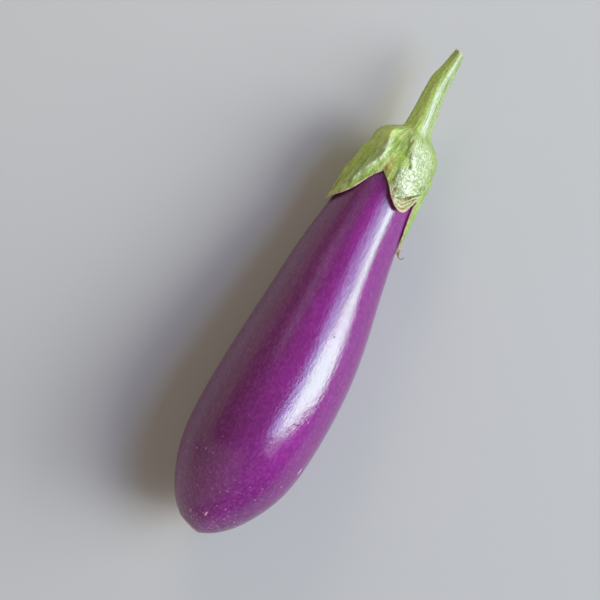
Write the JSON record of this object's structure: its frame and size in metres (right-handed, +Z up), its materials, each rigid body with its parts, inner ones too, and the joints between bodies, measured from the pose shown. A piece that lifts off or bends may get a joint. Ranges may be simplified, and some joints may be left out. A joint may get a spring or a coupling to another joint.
{
  "type": "eggplant",
  "caption": "Long glossy purple eggplant as picked, lying on its side with its green calyx and cut stem.",
  "frame": {"origin": "middle of the small flat spot under the belly that the eggplant rests on", "axes": "+Y along the fruit from its blossom end to the stem, +Z up from the surface, +X to the right seen from the blossom end"},
  "size_m": [0.0647, 0.2741, 0.0648],
  "materials": {
    "skin": "thin glossy purple skin, smooth and waxy",
    "calyx": "fleshy light green calyx and stem, finely wrinkled, dull"
  },
  "bodies": {
    "root": {"fruit": "skin", "calyx_and_stem": "calyx"}
  },
  "joints": []
}
